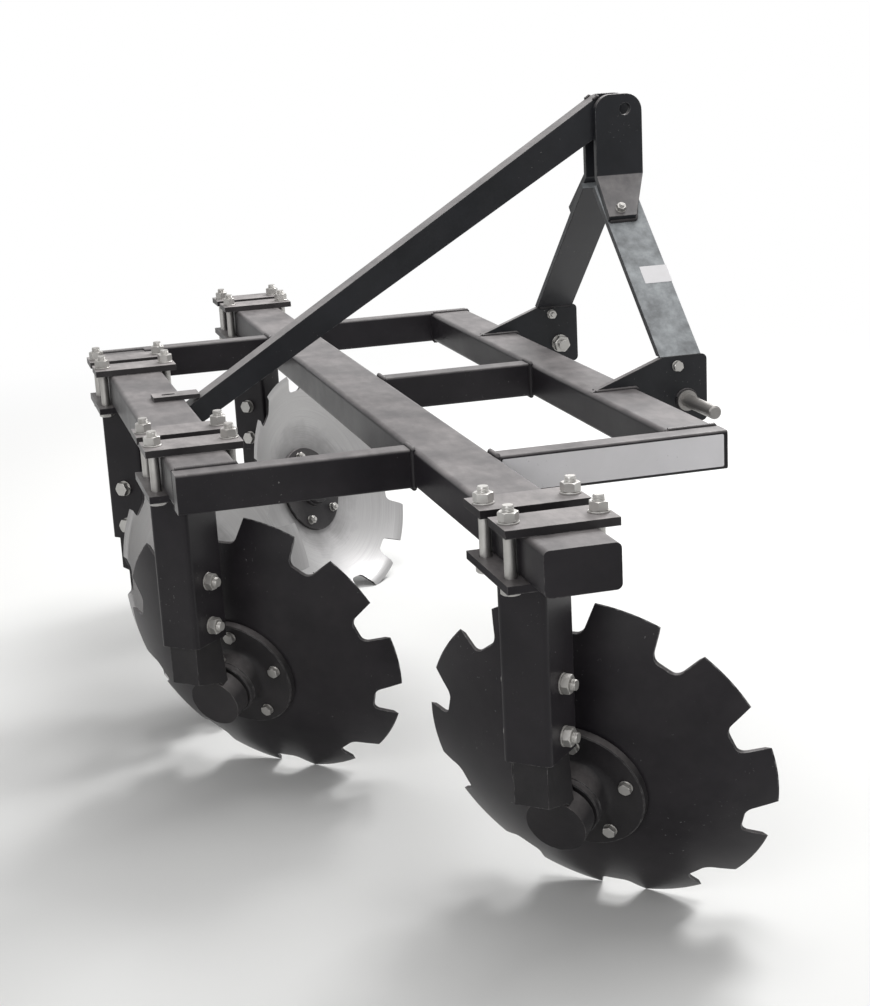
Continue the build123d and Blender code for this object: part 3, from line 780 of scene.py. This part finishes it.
# Welds of the frame
def loop_across(x, y):
    """Corners of a bar's end at x, going round it."""
    return [(x, y + BAR_WIDTH / 2 * a, FRAME_TOP - BEAM_HEIGHT / 2 + BEAM_HEIGHT / 2 * b)
            for a, b in SQUARE_CORNERS]


def loop_along(x, y, width):
    """Corners of a cross beam's end at y, going round it."""
    return [(x + width / 2 * a, y, FRAME_TOP - BEAM_HEIGHT / 2 + BEAM_HEIGHT / 2 * b)
            for a, b in SQUARE_CORNERS]


main_low, main_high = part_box("main_beam")
rear_low, rear_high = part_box("rear_beam")
front_low, front_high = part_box("front_beam")
bm = bmesh.new()
for side in (-1, 1):
    add_weld(bm, loop_across(main_high.x, side * (FRONT_OUTER_Y - BAR_WIDTH / 2)), FRAME_BEAD, closed=True)
    add_weld(bm, loop_across(main_low.x, side * (REAR_OUTER_Y - BAR_WIDTH / 2)), FRAME_BEAD, closed=True)
    for beam_low, beam_high in ((rear_low, rear_high), (front_low, front_high)):
        middle, width = (beam_low.x + beam_high.x) / 2, beam_high.x - beam_low.x - BEAM_WELD_NARROWER
        add_weld(bm, loop_along(middle, side * beam_high.y, width), FRAME_BEAD, closed=True)
add_weld(bm, loop_across(main_high.x, 0), FRAME_BEAD, closed=True)
add_weld(bm, loop_across(front_low.x, 0), FRAME_BEAD, closed=True)
finish_mesh(bm, "frame_welds", WELD_PAINT, "frame", WELD_SMOOTH_DEGREES)

# Mast sides, with legs that run straight from the hitch plates to the bend of the heads
leg_low, leg_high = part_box("mast_leg_right")
head_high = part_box("mast_head_right")[1]
head_front = head_high.x
head_rear = head_front - HEAD_WIDTH
flare_rear = head_rear - FLARE_END_OVERHANG
flare_front = flare_rear + FLARE_END_WIDTH
leg_reach = PLATE_OUTER_Y - HEAD_OUTER_Y
leg_rise = HEAD_BEND - PLATE_TOP
leg_lean = math.atan2(leg_rise, leg_reach) - math.asin(MAST_THICKNESS / math.hypot(leg_reach, leg_rise))


def on_slope(side, x, down, deep=0.0):
    """Point at x on a mast side's slope, so far down from the head's bend and so deep under its face."""
    return Vector((x, side * (HEAD_OUTER_Y + down * math.cos(leg_lean) - deep * math.sin(leg_lean)),
                   HEAD_BEND - down * math.sin(leg_lean) - deep * math.cos(leg_lean)))


def out_of_slope(side):
    """Direction straight out of a mast side's slope."""
    return Vector((0, side * math.sin(leg_lean), math.cos(leg_lean)))


def mast_head_mesh(side):
    """A head plate with round shoulders and the top link's hole, its tapered foot bent out over the leg."""
    shoulder_z = head_high.z - HEAD_CORNER
    rim = [(head_front, HEAD_BEND)]
    for middle_x, start in ((head_front - HEAD_CORNER, 0.0), (head_rear + HEAD_CORNER, math.pi / 2)):
        for step in range(13):
            angle = start + math.pi / 2 * step / 12
            rim.append((middle_x + HEAD_CORNER * math.cos(angle), shoulder_z + HEAD_CORNER * math.sin(angle)))
    rim.append((head_rear, HEAD_BEND))
    hole_x, hole_z = head_front - TOP_HOLE_BEHIND_FRONT, head_high.z - TOP_HOLE_BELOW_TOP
    turns = [math.pi * i / 24 for i in range(48)]
    hole = [(hole_x + TOP_HOLE_RADIUS * math.cos(a), hole_z + TOP_HOLE_RADIUS * math.sin(a)) for a in turns]
    inner_bend = HEAD_BEND - MAST_THICKNESS * math.tan((math.pi / 2 - leg_lean) / 2)
    bm = bmesh.new()
    skins = []
    for y, bend_z, deep in ((HEAD_OUTER_Y, HEAD_BEND, 0.0), (HEAD_INNER_Y, inner_bend, MAST_THICKNESS)):
        upper = [bm.verts.new((x, side * y, bend_z if z == HEAD_BEND else z)) for x, z in rim]
        bore = [bm.verts.new((x, side * y, z)) for x, z in hole]
        edges = [bm.edges.new(pair) for loop in (upper, bore) for pair in zip(loop, loop[1:] + loop[:1])]
        bmesh.ops.triangle_fill(bm, use_beauty=True, edges=edges)
        foot = [bm.verts.new(on_slope(side, x, FLARE_LENGTH, deep)) for x in (flare_rear, flare_front)]
        bm.faces.new((upper[0], upper[-1], *foot))
        skins.append((upper + foot, bore))
    for outer, inner in zip(*skins):
        for i in range(len(outer)):
            j = (i + 1) % len(outer)
            bm.faces.new((outer[i], outer[j], inner[j], inner[i]))
    return bm


def mast_leg_mesh(side):
    """A flat bar from the hitch plate's top to under the flare, cut level at its foot."""
    foot_inner_y = PLATE_OUTER_Y - MAST_THICKNESS / math.sin(leg_lean)
    rings = []
    for x in (leg_low.x, leg_high.x):
        rings.append([(x, side * foot_inner_y, PLATE_TOP), (x, side * PLATE_OUTER_Y, PLATE_TOP),
                      on_slope(side, x, LEG_BELOW_BEND, MAST_THICKNESS),
                      on_slope(side, x, LEG_BELOW_BEND, 2 * MAST_THICKNESS)])
    bm = bmesh.new()
    add_rings(bm, rings)
    return bm


def break_edges(item):
    """Joins a flat face's triangles and takes the sharpness off its edges."""
    merge = item.modifiers.new("flat faces", "DECIMATE")
    merge.decimate_type = "DISSOLVE"
    merge.angle_limit = math.radians(FLAT_FACE_DEGREES)
    edge = item.modifiers.new("broken edges", "BEVEL")
    edge.width = EDGE_BREAK
    edge.segments = 2
    edge.limit_method = "ANGLE"
    edge.angle_limit = math.radians(EDGE_BREAK_DEGREES)
    edge.harden_normals = True


for side, name in ((-1, "right"), (1, "left")):
    head = finish_mesh(mast_head_mesh(side), f"bent_head_plate_{name}", HEAD_PAINT, "frame")
    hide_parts(f"mast_head_{name}")
    break_edges(head)
    leg = finish_mesh(mast_leg_mesh(side), f"straight_mast_leg_{name}", MAST_LEG_PAINT, "frame")
    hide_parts(f"mast_leg_{name}")
    break_edges(leg)

# Welds of the mast, the hitch plates and the stay
stay_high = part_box("stay")[1]
pin_low, pin_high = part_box("hitch_pin_right")
pin_x, pin_z = (pin_low.x + pin_high.x) / 2, (pin_low.z + pin_high.z) / 2
stay_rise = math.tan(STAY_SLOPE)
stay_weld_start = head_rear + BEAD_OFFSET
bm = bmesh.new()
for side in (-1, 1):
    foot_ends = (leg_low.x + WELD_END_INSET, leg_high.x - WELD_END_INSET)
    foot_weld_y = side * (PLATE_INNER_Y - BEAD_OFFSET)
    add_weld(bm, [(x, foot_weld_y, PLATE_TOP - BEAD_OFFSET) for x in foot_ends], MAST_FOOT_BEAD)
    flare_edge = [on_slope(side, leg_high.x - WELD_END_INSET, 0.050, MAST_THICKNESS),
                  on_slope(side, flare_front + BEAD_OFFSET, FLARE_LENGTH, MAST_THICKNESS),
                  on_slope(side, flare_rear + WELD_END_INSET, FLARE_LENGTH + BEAD_OFFSET, MAST_THICKNESS)]
    add_weld(bm, flare_edge, FLARE_BEAD)
    for y in (PLATE_OUTER_Y, PLATE_INNER_Y):
        over_beam = [(front_low.x + 0.012, side * y, FRAME_TOP), (front_high.x, side * y, FRAME_TOP),
                     (front_high.x, side * y, FRAME_TOP - BEAM_HEIGHT + WELD_END_INSET)]
        add_weld(bm, over_beam, PLATE_BEAD)
    turns = [math.pi * i / 12 for i in range(24)]
    ring = [(pin_x + PIN_RING_RADIUS * math.cos(a), side * (PLATE_OUTER_Y + 0.0005),
             pin_z + PIN_RING_RADIUS * math.sin(a)) for a in turns]
    add_weld(bm, ring, PIN_BEAD, closed=True)
    stay_y = side * (HEAD_INNER_Y - BEAD_OFFSET)
    for end_z in (stay_high.z, stay_high.z - STAY_HEAD_DEPTH / math.cos(STAY_SLOPE)):
        start_z = end_z - (stay_high.x - stay_weld_start) * stay_rise
        add_weld(bm, [(stay_weld_start, stay_y, start_z), (stay_high.x, stay_y, end_z)], STAY_HEAD_BEAD)
foot_low = FRAME_TOP - STAY_BELOW_TOP - STAY_FOOT_DEPTH / math.cos(STAY_SLOPE)
foot_high = FRAME_TOP - STAY_BELOW_TOP - 0.002
stay_foot = [(rear_high.x + BEAD_OFFSET, y * HEAD_INNER_Y, foot_high if z > 0 else foot_low)
             for y, z in SQUARE_CORNERS]
add_weld(bm, stay_foot, STAY_FOOT_BEAD, closed=True)
finish_mesh(bm, "mast_and_stay_welds", WELD_PAINT, "frame", WELD_SMOOTH_DEGREES)


# Bolts of the flares and hitch plates, and the pins' nuts inside their plates
def add_small_bolt_head(bm, seat, thread=0.0):
    """A head or nut of the mast's small bolts."""
    add_bolt_head(bm, seat, SMALL_NUT_FLATS, SMALL_NUT_HEIGHT, SMALL_BOLT_RADIUS, thread)


plate_bolt_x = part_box("hitch_plate_right")[1].x - PLATE_BOLT_BEHIND_FRONT
bm = bmesh.new()
for side in (-1, 1):
    on_flare = on_slope(side, (flare_rear + flare_front) / 2, FLARE_LENGTH - FLARE_BOLT_FROM_END)
    add_small_bolt_head(bm, axes(on_flare, out_of_slope(side)), 0.005)
    outer_face = (plate_bolt_x, side * PLATE_OUTER_Y, PLATE_BOLT_Z)
    add_small_bolt_head(bm, axes(outer_face, (0, side, 0), (1, 0, 0.2)))
    inner_face = (plate_bolt_x, side * PLATE_INNER_Y, PLATE_BOLT_Z)
    add_small_bolt_head(bm, axes(inner_face, (0, -side, 0), (1, 0, 0.5)), 0.006)
    pin_seat = axes((pin_x, side * PLATE_INNER_Y, pin_z), (0, -side, 0), (1, 0, 0.3))
    add_bolt_head(bm, pin_seat, PIN_NUT_FLATS, PIN_NUT_HEIGHT, PIN_THREAD_RADIUS, PIN_THREAD_END)
finish_mesh(bm, "mast_and_pin_nuts", ZINC, "frame")


# Blank strips on the front side bars and a blank label on the right mast leg
def add_film(bm, matrix, width, height, corner):
    """A thin sheet with rounded corners; its face looks along the matrix's Z."""
    outline = []
    for quarter, (right_left, up_down) in enumerate(((1, 1), (-1, 1), (-1, -1), (1, -1))):
        for step in range(5):
            angle = math.pi / 2 * (quarter + step / 4)
            outline.append((right_left * (width / 2 - corner) + corner * math.cos(angle),
                            up_down * (height / 2 - corner) + corner * math.sin(angle)))
    add_rings(bm, [[(x, y, z) for x, y in outline] for z in (0.0, FILM_THICKNESS)], matrix)


bm = bmesh.new()
strip_length = front_high.x - main_high.x - STRIP_SHORTER
strip_x = (front_high.x + main_high.x) / 2
for side in (-1, 1):
    face = axes((strip_x, side * FRONT_OUTER_Y, FRAME_TOP - BEAM_HEIGHT / 2), (0, side, 0))
    add_film(bm, face, strip_length, STRIP_HEIGHT, STRIP_CORNER)
label = on_slope(-1, leg_high.x - LABEL_BEHIND_EDGE, LABEL_BELOW_BEND, MAST_THICKNESS)
add_film(bm, axes(label, out_of_slope(-1)), LABEL_WIDTH, LABEL_HEIGHT, LABEL_CORNER)
finish_mesh(bm, "blank_strips_and_label", WHITE_FILM, "frame")

# Finishes and broken edges on the frame's own pieces
FINISHES = [
    ("hub_bracket", CAST_PAINT), ("hitch_pin", PIN_STEEL), ("mast_leg", MAST_LEG_PAINT),
    ("mast_head", HEAD_PAINT), ("hitch_plate", HEAD_PAINT), ("stay_foot", STRAP_PAINT),
    ("stay", HEAD_PAINT), ("clamp_plate", STRAP_PAINT), ("standard", LEG_PAINT),
    ("bolts", ZINC), ("blade", BLADE_FINISH), ("hub", CAST_PAINT)]
for name, item in frame["nodes"].items():
    finish = next((material for start, material in FINISHES if name.startswith(start)), BEAM_PAINT)
    for material_slot in item.material_slots:
        material_slot.material = finish
    if not item.hide_render:
        break_edges(item)

# Pale floor that turns white away from the machine
FLOOR_HALF = 60.0
WHITENS_FROM, WHITE_FROM = 2.0, 5.5
bm = bmesh.new()
bmesh.ops.create_grid(bm, x_segments=1, y_segments=1, size=FLOOR_HALF)
floor_mesh = bpy.data.meshes.new("floor")
bm.to_mesh(floor_mesh)
bm.free()
floor = bpy.data.objects.new("floor", floor_mesh)
scene.collection.objects.link(floor)
floor_material, tree, shader = new_material("pale floor")
shader.inputs["Base Color"].default_value = (0.80, 0.80, 0.79, 1)
shader.inputs["Roughness"].default_value = 0.9
shader.inputs["Specular IOR Level"].default_value = 0.1
distance = node(tree, "ShaderNodeVectorMath", {0: surface_point(tree)}, operation="LENGTH").outputs["Value"]
away = node(tree, "ShaderNodeMapRange", {0: distance, 1: WHITENS_FROM, 2: WHITE_FROM},
            interpolation_type="SMOOTHSTEP").outputs[0]
seen = node(tree, "ShaderNodeLightPath").outputs["Is Camera Ray"]
white = node(tree, "ShaderNodeEmission").outputs[0]
whiteness = combine(tree, "MULTIPLY", away, seen)
blend = node(tree, "ShaderNodeMixShader", {0: whiteness, 1: shader.outputs[0], 2: white}).outputs[0]
feed(tree, tree.nodes["Material Output"].inputs["Surface"], blend)
floor.data.materials.append(floor_material)

# White studio round it, seen at full strength and lighting softly
STUDIO_LIGHT = 0.42
world = bpy.data.worlds.new("studio")
scene.world = world
world.use_nodes = True
tree = world.node_tree
paths = node(tree, "ShaderNodeLightPath").outputs
shown = combine(tree, "MAXIMUM", paths["Is Camera Ray"], paths["Is Glossy Ray"])
shown = combine(tree, "MAXIMUM", shown, paths["Is Transmission Ray"])
background = tree.nodes["Background"]
background.inputs["Color"].default_value = (1, 1, 1, 1)
feed(tree, background.inputs["Strength"], mix_value(tree, shown, STUDIO_LIGHT, 1.0))


def softbox(name, place, width, height, power):
    """A rectangular lamp that faces the machine's middle."""
    data = bpy.data.lights.new(name, "AREA")
    data.shape = "RECTANGLE"
    data.size = width
    data.size_y = height
    data.energy = power
    lamp = bpy.data.objects.new(name, data)
    lamp.location = place
    lamp.rotation_euler = (UP * 0.5 - Vector(place)).to_track_quat("-Z", "Y").to_euler()
    scene.collection.objects.link(lamp)


softbox("sun side", (3.2, 3.2, 4.6), width=2.4, height=2.4, power=330)
softbox("camera side", (-3.0, -4.6, 2.8), width=3.0, height=2.4, power=70)
softbox("overhead", (0.5, -0.5, 5.0), width=3.0, height=3.0, power=90)

# Camera at the photograph's place and angle
PHOTO_WIDTH, PHOTO_HEIGHT = 870, 1006
FOCAL_PIXELS = 1872.03
PHOTO_CENTRE = (421.31, 546.48)
CAMERA_PLACE = Vector((-0.97312, -4.03574, 1.59158))
SENSOR_WIDTH = 36.0
yaw, pitch, roll = math.radians(14.375), math.radians(15.866), math.radians(-3.199)
ahead = Vector((math.sin(yaw) * math.cos(pitch), math.cos(yaw) * math.cos(pitch), -math.sin(pitch)))
right = Vector((math.cos(yaw), -math.sin(yaw), 0))
up = right.cross(ahead)
right, up = right * math.cos(roll) + up * math.sin(roll), up * math.cos(roll) - right * math.sin(roll)
camera_data = bpy.data.cameras.new("camera")
camera = bpy.data.objects.new("camera", camera_data)
scene.collection.objects.link(camera)
scene.camera = camera
camera.matrix_world = from_columns(right, up, -ahead, CAMERA_PLACE)
camera_data.sensor_fit = "HORIZONTAL"
camera_data.sensor_width = SENSOR_WIDTH
camera_data.lens = FOCAL_PIXELS / PHOTO_WIDTH * SENSOR_WIDTH
camera_data.shift_x = (PHOTO_WIDTH / 2 - PHOTO_CENTRE[0]) / PHOTO_WIDTH
camera_data.shift_y = (PHOTO_CENTRE[1] - PHOTO_HEIGHT / 2) / PHOTO_WIDTH
camera_data.clip_end = 200.0

scene.view_settings.view_transform = "Standard"
